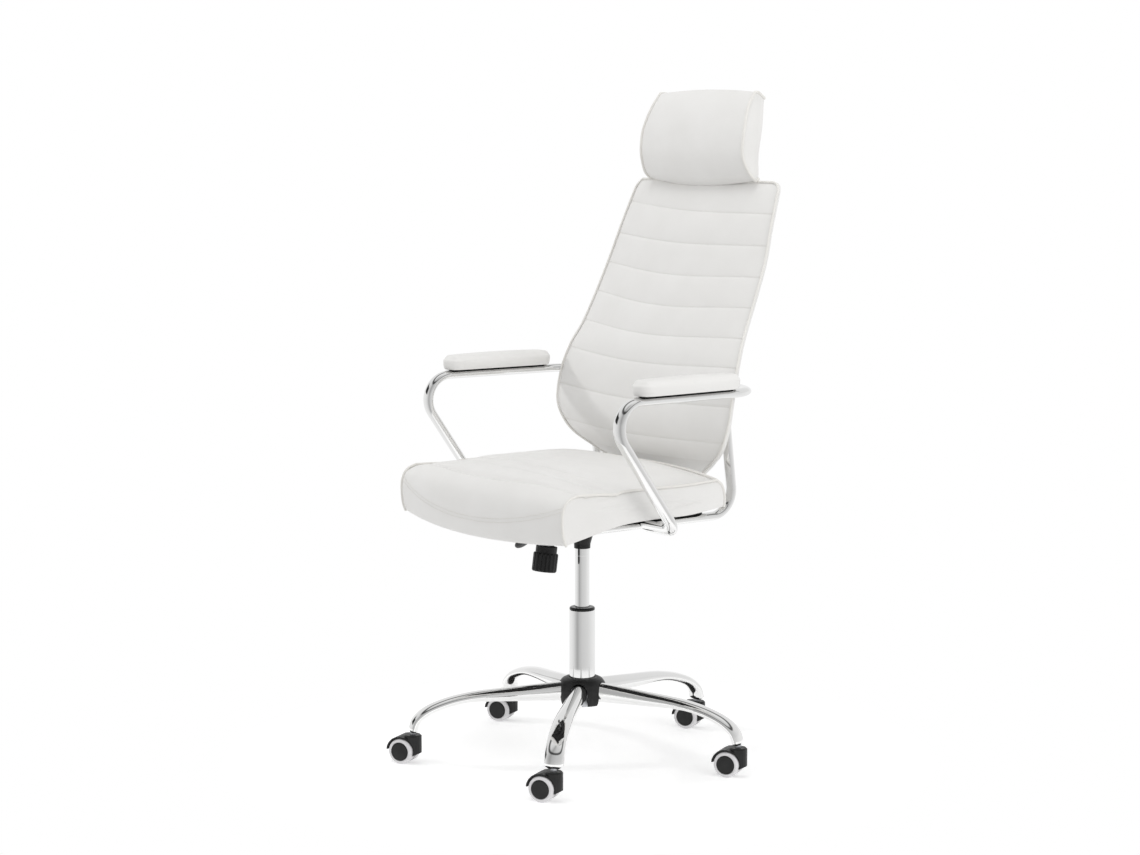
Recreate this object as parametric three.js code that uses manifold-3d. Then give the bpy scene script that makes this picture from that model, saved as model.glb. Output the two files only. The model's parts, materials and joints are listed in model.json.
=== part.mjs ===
// Swivel office chair: five-star base on twin-wheel casters, gas lift, tilt mechanism, padded seat,
// backrest and headrest, and bent oval tubes for the arms and the back. Millimetres, +Z up, -Y is the
// front, +X is the sitter's left. Every part is laid out around the column axis; the whole chair is
// then shifted so that the origin is on the floor under the middle of its bounding box.
import * as THREE from "three";
import { mergeVertices } from "three/addons/utils/BufferGeometryUtils.js";
import Module from "manifold-3d";

// ---- driving dimensions ----
const COLUMN_X = 22.55; // where the column axis stands, from the origin
const COLUMN_Y = -7.92;
const GAP = 0.3; // clearance between touching pieces

const STAR_LEGS = 5;
const STAR_TURN = 26.07; // degrees, bearing of the first leg
const STEM_CIRCLE = 333.5; // radius that the caster stems stand on
const CASTER_TURN = 29; // degrees, the way the casters point
const WHEEL_R = 25;
const CASTER_TRAIL = 18; // stem axis to axle

const COLUMN_R = 25;
const COLUMN_BOTTOM = 104;
const COLUMN_TOP = 294;
const HUB_TOP = 161;
const HUB_BOTTOM = 109;
const HUB_R = 48;
const CYLINDER_R = 14;
const CYLINDER_BOTTOM = 214;
const CYLINDER_TOP = 462;

const PIVOT_Y = -30; // tilt pin
const PIVOT_Z = 457;
const HOUSING_HALF = 31; // mechanism housing, half its width
const SHEET = 3; // mechanism sheet steel
const KNOB_TILT = -8; // degrees, the tension bolt leans forward at its lower end
const LEVER_Z = 472.5;

const SEAT_HALF = 267;
const SEAT_SIDE_FRONT = -245;
const SEAT_SIDE_REAR = 150;
const SEAT_SIDE_TOP = 567;
const BOARD_BOTTOM = 499;
const BOARD_THICK = 8;

const ARM_FRONT_X = 312; // centre line of an arm at its front bend
const ARM_REAR_X = 297; // and at its rear bend
const ARM_FRONT_Y = -196;
const ARM_REAR_Y = 182.5;
const ARM_Z = 736; // height of its top run
const ARM_HALF_WIDE = 14.5;
const ARM_HALF_THIN = 8.5;
const FRAME_X = 210; // centre plane of a back tube
const FRAME_Z = 490.5; // height of its run under the seat, and of the arm's foot beside it
const FRAME_HALF_WIDE = 12;
const FRAME_HALF_THIN = 8;
const PAD_FRONT = -114;
const PAD_REAR = 138;
const PAD_HALF = 27;
const PAD_BOTTOM = 748;
const PAD_THICK = 28;

const RAD = Math.PI / 180;

// ---- finishes ----
const FINISHES = {
  leatherette: { color: 0xeeece8, roughness: 0.5, metalness: 0 },
  chrome: { color: 0xdfe2e6, roughness: 0.08, metalness: 1 },
  black: { color: 0x1b1b1c, roughness: 0.45, metalness: 0 },
  steel: { color: 0x8d9298, roughness: 0.35, metalness: 1 },
  blackSteel: { color: 0x232426, roughness: 0.5, metalness: 0.4 },
  tyre: { color: 0xb9bbbd, roughness: 0.6, metalness: 0 },
  plywood: { color: 0xb08a5c, roughness: 0.7, metalness: 0 },
};

// ---- making and joining solids ----
const wasm = await Module();
wasm.setup();

const vec = (x, y, z) => new THREE.Vector3(x, y, z);

function piece(parent, name, geometry, finish) {
  const mesh = new THREE.Mesh(geometry, new THREE.MeshStandardMaterial(FINISHES[finish]));
  mesh.name = name;
  parent.add(mesh);
  return mesh;
}

function solidOf(geometry) {
  const bare = new THREE.BufferGeometry();
  bare.setAttribute("position", geometry.getAttribute("position"));
  if (geometry.index) bare.setIndex(geometry.index);
  const merged = mergeVertices(bare, 1e-3);
  return new wasm.Manifold(
    new wasm.Mesh({
      numProp: 3,
      vertProperties: new Float32Array(merged.getAttribute("position").array),
      triVerts: new Uint32Array(merged.index.array),
    }),
  );
}

function geometryOf(solid) {
  const mesh = solid.getMesh();
  const geometry = new THREE.BufferGeometry();
  geometry.setAttribute("position", new THREE.BufferAttribute(mesh.vertProperties, 3));
  geometry.setIndex(new THREE.BufferAttribute(mesh.triVerts, 1));
  geometry.computeVertexNormals();
  return geometry;
}

// The first geometry, joined with those in add and cut by those in remove.
function carve(first, add, remove = []) {
  let solid = solidOf(first);
  for (const g of add) solid = solid.add(solidOf(g));
  for (const g of remove) solid = solid.subtract(solidOf(g));
  return geometryOf(solid);
}

// ---- simple shapes ----
function block(x0, x1, y0, y1, z0, z1) {
  const g = new THREE.BoxGeometry(x1 - x0, y1 - y0, z1 - z0);
  return g.translate((x0 + x1) / 2, (y0 + y1) / 2, (z0 + z1) / 2);
}

// Turned about the Z axis from [radius, height] points, outside going up and inside going down.
function turned(profile, sides = 20) {
  const points = profile.map(([radius, height]) => new THREE.Vector2(radius, height));
  return new THREE.LatheGeometry(points, sides).rotateX(Math.PI / 2);
}

function ring(inner, outer, low, high, sides = 20) {
  return turned([[inner, low], [outer, low], [outer, high], [inner, high], [inner, low]], sides);
}

function rod(radius, from, to, sides = 16) {
  const along = to.clone().sub(from);
  const g = new THREE.CylinderGeometry(radius, radius, along.length(), sides);
  g.applyQuaternion(new THREE.Quaternion().setFromUnitVectors(vec(0, 1, 0), along.clone().normalize()));
  return g.translate(...from.clone().add(to).multiplyScalar(0.5).toArray());
}

function rodX(radius, x0, x1, y, z, sides) {
  return rod(radius, vec(x0, y, z), vec(x1, y, z), sides);
}

function rodY(radius, y0, y1, x, z, sides) {
  return rod(radius, vec(x, y0, z), vec(x, y1, z), sides);
}

function rodZ(radius, z0, z1, x = 0, y = 0, sides = 20) {
  return rod(radius, vec(x, y, z0), vec(x, y, z1), sides);
}

// A YZ outline extruded along X from -half to +half.
function profileAcross(outline, half) {
  const shape = new THREE.Shape(outline.map(([y, z]) => new THREE.Vector2(y, z)));
  const g = new THREE.ExtrudeGeometry(shape, { depth: 2 * half, bevelEnabled: false });
  g.translate(0, 0, -half);
  return g.applyMatrix4(new THREE.Matrix4().makeBasis(vec(0, 1, 0), vec(0, 0, 1), vec(1, 0, 0)));
}

function roundedPlate(halfX, halfY, radius, z0, z1, bevel = 0) {
  const shape = new THREE.Shape();
  const x = halfX - bevel;
  const y = halfY - bevel;
  const r = radius - bevel;
  shape.absarc(x - r, y - r, r, 0, 90 * RAD);
  shape.absarc(-x + r, y - r, r, 90 * RAD, 180 * RAD);
  shape.absarc(-x + r, -y + r, r, 180 * RAD, 270 * RAD);
  shape.absarc(x - r, -y + r, r, 270 * RAD, 360 * RAD);
  const g = new THREE.ExtrudeGeometry(shape, {
    depth: z1 - z0 - 2 * bevel,
    bevelEnabled: bevel > 0,
    bevelThickness: bevel,
    bevelSize: bevel,
    bevelSegments: 2,
    curveSegments: 4,
  });
  return g.translate(0, 0, z0 + bevel);
}

// ---- bent tubes ----
// Points along straight runs joined by bends: corners are [x, y, z, bend radius].
function bentLine(corners, degreesPerStep = 23) {
  const at = corners.map(([x, y, z]) => vec(x, y, z));
  const points = [at[0]];
  for (let i = 1; i < at.length - 1; i++) {
    const back = at[i - 1].clone().sub(at[i]).normalize();
    const on = at[i + 1].clone().sub(at[i]).normalize();
    const turn = Math.PI - back.angleTo(on);
    const radius = corners[i][3];
    const reach = radius * Math.tan(turn / 2);
    const centre = back.clone().add(on).normalize().multiplyScalar(radius / Math.cos(turn / 2)).add(at[i]);
    const start = back.clone().multiplyScalar(reach).add(at[i]).sub(centre);
    const axis = on.clone().cross(back).normalize().negate();
    const steps = Math.max(2, Math.ceil(turn / RAD / degreesPerStep));
    for (let k = 0; k <= steps; k++) {
      const spoke = start.clone().applyAxisAngle(axis, -(turn * k) / steps);
      points.push(spoke.add(centre));
    }
  }
  points.push(at[at.length - 1]);
  return points;
}

// A closed solid of oval section along points. firstSide is the wide direction at its start, and
// sizes(share) gives the half width and half thickness at a share of its length.
function sweep(points, firstSide, sizes, sides = 10) {
  const last = points.length - 1;
  const g = new THREE.CylinderGeometry(1, 1, 1, sides, last);
  const tangents = points.map((p, i) =>
    points[Math.min(i + 1, last)].clone().sub(points[Math.max(i - 1, 0)]).normalize(),
  );
  const side = firstSide.clone();
  const frames = tangents.map((tangent, i) => {
    if (i > 0) side.applyQuaternion(new THREE.Quaternion().setFromUnitVectors(tangents[i - 1], tangent));
    return { side: side.clone(), up: tangent.clone().cross(side) };
  });
  const lengths = [0];
  for (let i = 1; i <= last; i++) lengths.push(lengths[i - 1] + points[i].distanceTo(points[i - 1]));
  const position = g.getAttribute("position");
  for (let v = 0; v < position.count; v++) {
    const i = Math.round((0.5 - position.getY(v)) * last);
    const [wide, thin] = sizes(lengths[i] / lengths[last]);
    const p = points[i].clone();
    p.addScaledVector(frames[i].side, position.getX(v) * wide);
    p.addScaledVector(frames[i].up, position.getZ(v) * thin);
    position.setXYZ(v, p.x, p.y, p.z);
  }
  return g;
}

// A closed solid from a box grid: place(a, b, c) puts each point of the -1..1 cube.
function padded(nx, ny, nz, place) {
  const g = new THREE.BoxGeometry(2, 2, 2, nx, ny, nz);
  const position = g.getAttribute("position");
  for (let v = 0; v < position.count; v++) {
    const p = place(position.getX(v), position.getY(v), position.getZ(v));
    position.setXYZ(v, p.x, p.y, p.z);
  }
  return g;
}

// ---- base ----
function legGeometry() {
  const line = new THREE.CatmullRomCurve3([
    vec(31, 0, 133),
    vec(130, 0, 130.5),
    vec(225, 0, 126),
    vec(290, 0, 109),
    vec(324, 0, 87),
    vec(334.5, 0, 61),
  ]);
  const sizes = (share) => [16.5 + 2.5 * share, 9.5 + 10.5 * Math.max(0, 1 - share / 0.62) ** 1.1];
  const leg = sweep(line.getSpacedPoints(10), vec(0, 1, 0), sizes);
  return carve(leg, [], [rodZ(5.8, 50, 76.5, STEM_CIRCLE, 0, 12)]);
}

function hubCover(bearings) {
  const shell = turned([
    [25.6, HUB_TOP - 3.5],
    [40, HUB_TOP - 3.5],
    [44.5, HUB_TOP - 9],
    [44.5, HUB_BOTTOM],
    [HUB_R, HUB_BOTTOM],
    [HUB_R, HUB_TOP - 9],
    [HUB_R - 3, HUB_TOP - 3],
    [HUB_R - 9, HUB_TOP],
    [25.6, HUB_TOP],
    [25.6, HUB_TOP - 3.5],
  ], 20);
  const archRadius = 18.6;
  const arches = bearings.map((bearing) => {
    const box = block(35, 60, -archRadius, archRadius, HUB_BOTTOM - 5, HUB_TOP - 20);
    const arch = rodX(archRadius, 35, 60, 0, HUB_TOP - 24, 16);
    return carve(box, [arch]).rotateZ(bearing);
  });
  return carve(shell, [], arches);
}

function addBase(chair) {
  const base = new THREE.Group();
  chair.add(base);
  const bearings = [];
  for (let i = 0; i < STAR_LEGS; i++) bearings.push((STAR_TURN + (360 / STAR_LEGS) * i) * RAD);
  bearings.forEach((bearing, i) => {
    piece(base, `star_leg_${i + 1}`, legGeometry(), "chrome").rotation.z = bearing;
  });
  piece(base, "hub_sleeve", ring(COLUMN_R + GAP, 30.5, 106, 152), "steel");
  piece(base, "hub_cover", hubCover(bearings), "black");
  piece(base, "column_tube", turned([
    [5.4, COLUMN_BOTTOM],
    [COLUMN_R, COLUMN_BOTTOM],
    [COLUMN_R, COLUMN_TOP],
    [COLUMN_R - 2, COLUMN_TOP],
    [COLUMN_R - 2, COLUMN_BOTTOM + 4],
    [5.4, COLUMN_BOTTOM + 4],
    [5.4, COLUMN_BOTTOM],
  ]), "chrome");
  piece(base, "guide_bush", turned([
    [CYLINDER_R + GAP, 236],
    [COLUMN_R - 2 - GAP, 236],
    [COLUMN_R - 2 - GAP, COLUMN_TOP + GAP],
    [COLUMN_R, COLUMN_TOP + GAP],
    [COLUMN_R, COLUMN_TOP + 3.5],
    [COLUMN_R - 2, COLUMN_TOP + 5.5],
    [CYLINDER_R + GAP, COLUMN_TOP + 5.5],
    [CYLINDER_R + GAP, 236],
  ]), "black");
  piece(base, "thrust_bearing", ring(5.4, 12, COLUMN_BOTTOM + 4 + GAP, COLUMN_BOTTOM + 8, 20), "steel");
  return bearings;
}

// ---- casters ----
function casterHousing() {
  const plan = new THREE.Shape();
  plan.absarc(0, 0, 17.5, -60 * RAD, 60 * RAD);
  plan.lineTo(-12, 21);
  plan.lineTo(-50, 21);
  plan.lineTo(-50, -21);
  plan.lineTo(-12, -21);
  const post = new THREE.ExtrudeGeometry(plan, { depth: 60, bevelEnabled: false, curveSegments: 10 });
  const front = turned([[0, 8], [17.5, 8], [17.5, 54], [15, 56.7], [0, 56.7]], 20);
  const hood = rodY(29.5, -21, 21, -CASTER_TRAIL, WHEEL_R, 20);
  const body = geometryOf(solidOf(hood).intersect(solidOf(post)));
  const wells = [
    rodY(26.4, 3.9, 40, -CASTER_TRAIL, WHEEL_R, 20),
    rodY(26.4, -40, -3.9, -CASTER_TRAIL, WHEEL_R, 20),
    chinCut(),
    rodZ(5.8, 44.5, 70, 0, 0, 12),
    rodY(3.3, -10, 10, -CASTER_TRAIL, WHEEL_R, 12),
  ];
  return carve(front, [body], wells);
}

// Everything under the housing, which rises towards its front and its rear.
function chinCut() {
  const outline = [[-60, -20], [-60, 28], [-36, 28], [-27, 14], [-6, 11], [18, 22], [40, 22], [40, -20]];
  const shape = new THREE.Shape(outline.map(([x, z]) => new THREE.Vector2(x, z)));
  const g = new THREE.ExtrudeGeometry(shape, { depth: 80, bevelEnabled: false }).translate(0, 0, -40);
  return g.rotateX(Math.PI / 2);
}

function casterWheel() {
  const wheel = turned([
    [0, 19],
    [3.3, 19],
    [3.3, 4.6],
    [WHEEL_R, 4.6],
    [WHEEL_R, 18.5],
    [21.5, 22.6],
    [0, 22.6],
  ]);
  return wheel.rotateX(-Math.PI / 2);
}

function addCasters(chair, bearings) {
  bearings.forEach((bearing, i) => {
    const caster = new THREE.Group();
    caster.position.set(STEM_CIRCLE * Math.cos(bearing), STEM_CIRCLE * Math.sin(bearing), 0);
    caster.rotation.z = CASTER_TURN * RAD;
    chair.add(caster);
    piece(caster, `caster_stem_${i + 1}`, rodZ(5.5, 45, 76, 0, 0, 12), "steel");
    piece(caster, `caster_housing_${i + 1}`, casterHousing(), "black");
    piece(caster, `wheel_axle_${i + 1}`, rodY(3, -18.7, 18.7, -CASTER_TRAIL, WHEEL_R, 12), "steel");
    const left = piece(caster, `wheel_left_${i + 1}`, casterWheel(), "tyre");
    left.position.set(-CASTER_TRAIL, 0, WHEEL_R);
    const right = piece(caster, `wheel_right_${i + 1}`, casterWheel(), "tyre");
    right.position.set(-CASTER_TRAIL, 0, WHEEL_R);
    right.rotation.z = Math.PI;
  });
}

// ---- gas lift ----
function addGasLift(chair) {
  piece(chair, "piston_rod", turned([
    [0, 101],
    [5, 101],
    [5, 232],
    [10.6, 232],
    [10.6, 244],
    [0, 244],
  ], 16), "steel");
  piece(chair, "gas_cylinder", turned([
    [0, 440],
    [11, 440],
    [11, CYLINDER_BOTTOM + 8],
    [5.4, CYLINDER_BOTTOM + 8],
    [5.4, CYLINDER_BOTTOM],
    [CYLINDER_R, CYLINDER_BOTTOM],
    [CYLINDER_R, 418],
    [13.2, CYLINDER_TOP],
    [4.4, CYLINDER_TOP],
    [4.4, 449],
    [0, 449],
  ]), "chrome");
  piece(chair, "release_button", rodZ(4, 454.5, 468.2, 0, 0, 12), "steel");
}

// ---- tilt mechanism ----
function mechanismHousing() {
  const outer = profileAcross([
    [-112, 449],
    [-108, 446],
    [24, 446],
    [34, 456],
    [34, 468],
    [14, 482],
    [-20, 482],
    [-112, 468],
  ], HOUSING_HALF);
  const cup = turned([[0, 416], [15.3, 416], [15.8, 424], [21, 444], [21, 458], [0, 458]]);
  const inner = HOUSING_HALF - SHEET;
  const tray = carve(outer, [cup], [block(-inner, inner, -109, 31, 446 + SHEET, 500)]);
  return carve(tray, [ring(CYLINDER_R + GAP, 19, 447, 458)], [
    rodZ(CYLINDER_R + GAP, 400, 470),
    rodZ(6.5, 440, 455, 0, -82, 10),
    rodZ(6.5, 440, 455, 0, -88, 10),
    rodX(5.3, -40, 40, PIVOT_Y, PIVOT_Z, 16),
    rodX(7.5, -40, -20, 0, LEVER_Z, 12),
  ]);
}

function leverGrip() {
  const from = vec(-150, 0, 439);
  const to = vec(-222, 0, 381.5);
  const shape = (share) => {
    const full = Math.sqrt(Math.max(0.02, Math.sin(Math.PI * share)));
    return [6 + 10 * full, 3 + 4.5 * full];
  };
  const points = [];
  for (let k = 0; k <= 8; k++) points.push(from.clone().lerp(to, k / 8));
  const bore = sweep(leverLine(), vec(0, 1, 0), () => [4, 4], 10);
  return carve(sweep(points, vec(0, 1, 0), shape), [], [bore]);
}

function leverLine() {
  return bentLine([[14, 0, LEVER_Z], [-108, 0, LEVER_Z, 30], [-200, 0, 399]]);
}

function tensionKnob() {
  const outline = new THREE.Shape();
  const ribs = 15;
  for (let k = 0; k < ribs * 4; k++) {
    const radius = k % 4 < 2 ? 24 : 22.4;
    const angle = ((k + 0.5) / (ribs * 4)) * 2 * Math.PI;
    const point = [radius * Math.cos(angle), radius * Math.sin(angle)];
    if (k === 0) outline.moveTo(...point);
    else outline.lineTo(...point);
  }
  const grip = new THREE.ExtrudeGeometry(outline, { depth: 36, bevelEnabled: false }).translate(0, 0, -117);
  const neck = rodZ(19.5, -90, -67.5, 0, 0, 20);
  return carve(grip, [neck], [rodZ(17.2, -109, -60, 0, 0, 16), rodZ(5.2, -113, -105, 0, 0, 12)]);
}

function tensionSpring() {
  const turns = 5;
  const steps = turns * 9;
  const line = [];
  for (let k = 0; k <= steps; k++) {
    const angle = (k / 9) * 2 * Math.PI;
    line.push(vec(14 * Math.cos(angle), 14 * Math.sin(angle), -106.2 + (52 * k) / steps));
  }
  return sweep(line, vec(1, 0, 0), () => [2.1, 2.1], 5);
}

function addMechanism(chair) {
  piece(chair, "mechanism_housing", mechanismHousing(), "blackSteel");
  piece(chair, "tilt_pin", rodX(5, -38, 38, PIVOT_Y, PIVOT_Z, 16), "steel");
  piece(chair, "lever_bush", carve(rodX(6, -37, -27, 0, LEVER_Z, 14), [], [
    rodX(3.8, -40, -20, 0, LEVER_Z, 14),
  ]), "black");
  piece(chair, "height_lever", sweep(leverLine(), vec(0, 1, 0), () => [3.5, 3.5], 10), "steel");
  piece(chair, "lever_grip", leverGrip(), "black");

  const plate = roundedPlate(90, 96, 10, 495.5, 498.7).translate(0, -14, 0);
  const ears = [-1, 1].map((sign) => {
    const x = sign * (HOUSING_HALF + 2.3);
    return block(Math.min(x, x + sign * SHEET), Math.max(x, x + sign * SHEET), -50, -11, 447, 497);
  });
  const pinHole = rodX(5.4, -60, 60, PIVOT_Y, PIVOT_Z, 16);
  piece(chair, "seat_plate", carve(plate, ears, [pinHole]), "blackSteel");

  const tension = new THREE.Group();
  tension.position.set(0, -76, 495);
  tension.rotation.x = KNOB_TILT * RAD;
  chair.add(tension);
  piece(tension, "tension_bolt", rodZ(4.8, -112, -0.9, 0, 0, 12), "steel");
  piece(tension, "tension_spring", tensionSpring(), "steel");
  piece(tension, "tension_knob", tensionKnob(), "black");
}

// ---- seat ----
// Heights of the seat's lower edge and of its side seam, from front to rear.
const seatUnderside = new THREE.SplineCurve([
  new THREE.Vector2(-247, 479),
  new THREE.Vector2(-160, 494),
  new THREE.Vector2(-40, 504),
  new THREE.Vector2(60, 504),
  new THREE.Vector2(165, 513),
]);

function seatPoint(a, b, c) {
  const across = 1 - a * a;
  const front = SEAT_SIDE_FRONT - 34 * across;
  const rear = SEAT_SIDE_REAR + 6 * across;
  const share = (b + 1) / 2;
  const low = seatUnderside.getPoint(share).y - 12 * across * Math.max(0, 1 - share * 5);
  const crown = 34 * (1 - Math.abs(a) ** 3) * (1 - Math.abs(b) ** 5);
  const high = SEAT_SIDE_TOP + crown - 8 * Math.max(0, -b) ** 8;
  const bulge = 6 * (1 - c * c);
  const narrow = 1 - 0.05 * Math.max(0, b) ** 6;
  return vec(
    a * (SEAT_HALF * narrow),
    front + (rear - front) * share + Math.sign(b) * bulge * Math.abs(b) ** 6,
    low + ((high - low) * (c + 1)) / 2,
  );
}

function addSeat(chair) {
  const board = roundedPlate(222, 168, 30, BOARD_BOTTOM, BOARD_BOTTOM + BOARD_THICK).translate(0, -34, 0);
  piece(chair, "seat_board", board, "plywood");
  const pocket = block(-226, 226, -207, 139, 400, BOARD_BOTTOM + BOARD_THICK + GAP);
  piece(chair, "seat_cushion", carve(padded(8, 9, 2, seatPoint), [], [pocket]), "leatherette");
}

// ---- arms and back tubes ----
function armTube(sign) {
  return sweep(bentLine([
    [sign * 95, ARM_REAR_Y, ARM_Z + 6],
    [sign * ARM_REAR_X, ARM_REAR_Y, ARM_Z, 54],
    [sign * ARM_FRONT_X, ARM_FRONT_Y, ARM_Z, 48],
    [sign * ARM_FRONT_X, -20, FRAME_Z, 30],
    [sign * (FRAME_X + FRAME_HALF_WIDE + 0.7), -20, FRAME_Z],
  ]), vec(0, 1, 0), () => [ARM_HALF_WIDE, ARM_HALF_THIN]);
}

function backTube(sign) {
  return sweep(bentLine([
    [sign * FRAME_X, -150, FRAME_Z],
    [sign * FRAME_X, 206, FRAME_Z, 48],
    [sign * FRAME_X, 178, ARM_Z - 8],
  ]), vec(1, 0, 0), () => [FRAME_HALF_WIDE, FRAME_HALF_THIN]);
}

// The pad and its fixing plate lie along the arm, which runs outwards to the front.
function addPad(chair, word, sign) {
  const middle = (PAD_FRONT + PAD_REAR) / 2;
  const half = (PAD_REAR - PAD_FRONT) / 2;
  const splay = (ARM_FRONT_X - ARM_REAR_X) / (ARM_REAR_Y - ARM_FRONT_Y);
  const pad = new THREE.Group();
  pad.position.set(sign * (ARM_REAR_X + splay * (ARM_REAR_Y - middle)), middle, 0);
  pad.rotation.z = sign * Math.atan(splay);
  chair.add(pad);
  const plate = roundedPlate(10, half - 12, 9.5, ARM_Z + ARM_HALF_THIN + GAP, PAD_BOTTOM - GAP);
  piece(pad, `arm_pad_plate_${word}`, plate, "black");
  const cushion = roundedPlate(PAD_HALF, half, PAD_HALF - 1, PAD_BOTTOM, PAD_BOTTOM + PAD_THICK, 6);
  piece(pad, `arm_pad_${word}`, cushion, "leatherette");
}

function addTubes(chair) {
  for (const [word, sign] of [["left", 1], ["right", -1]]) {
    piece(chair, `arm_tube_${word}`, armTube(sign), "chrome");
    piece(chair, `back_tube_${word}`, backTube(sign), "chrome");
    addPad(chair, word, sign);
  }
}

// ---- backrest and headrest ----
// Side edge of the backrest's front face: half width, depth and height, from the bottom up.
const backEdge = new THREE.CatmullRomCurve3([
  vec(112, 198, 548),
  vec(172, 174, 578),
  vec(240, 147, 620),
  vec(271, 139, 672),
  vec(269, 158, 765),
  vec(251, 194, 840),
  vec(241, 248, 959),
  vec(229, 278, 1045),
  vec(218, 309, 1124),
]);

// A slab that follows the edge between two depths behind it. Its rear is fuller by belly low down.
function backSlab({ crown = 0, front, rear, belly = 0, inset = 0, grid }) {
  return padded(...grid, (a, b, c) => {
    const edge = backEdge.getPoint((c + 1) / 2);
    const ends = 1 - 0.5 * Math.max(0, c) ** 6 - Math.max(0, -c) ** 4;
    const bulge = crown * (1 - a * a) * ends * ((1 - b) / 2);
    const full = belly * THREE.MathUtils.smoothstep(-c, 0.2, 0.7);
    const depth = front + ((rear + full - front) * (b + 1)) / 2;
    return vec(a * (edge.x - inset), edge.y + depth - bulge, edge.z);
  });
}

// The headrest's side outline: front and rear depth against height, and its half width.
const headFront = new THREE.CatmullRomCurve3([
  vec(164, 294, 1126.5),
  vec(160, 272, 1150),
  vec(158, 263, 1188),
  vec(157, 269, 1229),
  vec(154, 286, 1270),
  vec(147, 309, 1297),
]);
const headRear = new THREE.CatmullRomCurve3([
  vec(164, 305, 1126.5),
  vec(160, 308, 1150),
  vec(158, 311, 1186),
  vec(157, 315, 1222),
  vec(154, 321, 1258),
  vec(147, 327, 1284),
]);

function headrestGeometry() {
  return padded(6, 1, 7, (a, b, c) => {
    const front = headFront.getPoint((c + 1) / 2);
    const rear = headRear.getPoint((c + 1) / 2);
    const p = front.clone().lerp(rear, (b + 1) / 2);
    const middle = 1 - a * a;
    p.x = a * front.x;
    p.y -= 13 * middle * ((1 - b) / 2) * (1 - 0.5 * c * c);
    p.z += 9 * middle * Math.max(0, c);
    return p;
  });
}

function headrestTongue() {
  const line = new THREE.CatmullRomCurve3([
    vec(0, 305, 1085),
    vec(0, 321, 1116),
    vec(0, 321, 1140),
    vec(0, 318, 1180),
    vec(0, 322.5, 1225),
  ]);
  return sweep(line.getSpacedPoints(8), vec(1, 0, 0), () => [60, 3], 8);
}

function addBack(chair) {
  const cushion = backSlab({ crown: 28, front: 0, rear: 6, grid: [8, 1, 13] });
  piece(chair, "backrest_cushion", cushion, "leatherette");
  const shell = backSlab({ front: 6.4, rear: 13, belly: 7, inset: 9, grid: [2, 1, 13] });
  piece(chair, "backrest_shell", carve(shell, [headrestTongue()]), "leatherette");
  piece(chair, "headrest_cushion", headrestGeometry(), "leatherette");
}

// ---- the chair ----
const chair = new THREE.Group();
chair.position.set(COLUMN_X, COLUMN_Y, 0);
const legBearings = addBase(chair);
addCasters(chair, legBearings);
addGasLift(chair);
addMechanism(chair);
addSeat(chair);
addTubes(chair);
addBack(chair);

export default chair;
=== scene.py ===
"""Looks of the swivel office chair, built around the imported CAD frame. Metres, in the CAD's frame."""
import json
import math

import bmesh
import bpy
import numpy as np
from mathutils import Matrix, Vector


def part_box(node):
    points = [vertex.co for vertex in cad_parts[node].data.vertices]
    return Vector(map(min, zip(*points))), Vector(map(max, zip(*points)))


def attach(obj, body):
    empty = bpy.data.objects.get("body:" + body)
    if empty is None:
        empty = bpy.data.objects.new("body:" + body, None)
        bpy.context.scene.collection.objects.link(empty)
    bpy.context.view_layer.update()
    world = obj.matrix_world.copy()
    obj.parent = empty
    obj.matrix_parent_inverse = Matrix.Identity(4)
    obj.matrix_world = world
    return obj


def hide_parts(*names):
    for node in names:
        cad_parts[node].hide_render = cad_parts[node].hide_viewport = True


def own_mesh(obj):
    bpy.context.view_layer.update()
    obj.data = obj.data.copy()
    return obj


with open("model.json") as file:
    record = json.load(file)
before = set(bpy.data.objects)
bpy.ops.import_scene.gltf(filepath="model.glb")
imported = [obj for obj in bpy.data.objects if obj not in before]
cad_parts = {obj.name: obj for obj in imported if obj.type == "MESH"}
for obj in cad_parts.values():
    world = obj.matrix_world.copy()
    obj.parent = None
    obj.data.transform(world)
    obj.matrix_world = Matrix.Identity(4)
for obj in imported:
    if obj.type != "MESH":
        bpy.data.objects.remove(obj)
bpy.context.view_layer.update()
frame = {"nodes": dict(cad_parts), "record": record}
scene = bpy.context.scene
MM = 0.001


def middle(node):
    low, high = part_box(node)
    return (low + high) / 2


AXIS = np.array([middle("column_tube").x, middle("column_tube").y, 0.0])  # the column axis on the floor


def at(points):
    """Points in millimetres from the column axis, as metres in the frame."""
    return np.asarray(points, float) * MM + AXIS


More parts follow.
